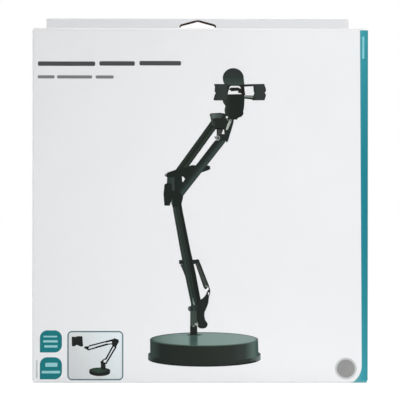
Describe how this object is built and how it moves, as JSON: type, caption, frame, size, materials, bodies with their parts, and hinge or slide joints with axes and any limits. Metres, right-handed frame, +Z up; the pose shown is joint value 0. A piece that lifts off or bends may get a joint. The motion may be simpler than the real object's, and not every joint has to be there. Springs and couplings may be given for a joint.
{
  "type": "retail carton",
  "caption": "Closed white corrugated retail carton with a folded hang header at the back, peaked hang hole, tucked lid and tucked bottom flap.",
  "frame": {"origin": "centre of the footprint, on the floor: the middle of the bounding box's bottom", "axes": "+Z up along the carton's height to the hang header, +X to the right across the printed front, +Y back through the carton's depth, so the printed front looks along -Y"},
  "size_m": [0.301, 0.07, 0.3438],
  "materials": {
    "board": "white coated board, satin, with kraft-brown cut edges"
  },
  "bodies": {
    "root": {"carton": "board"}
  },
  "joints": []
}
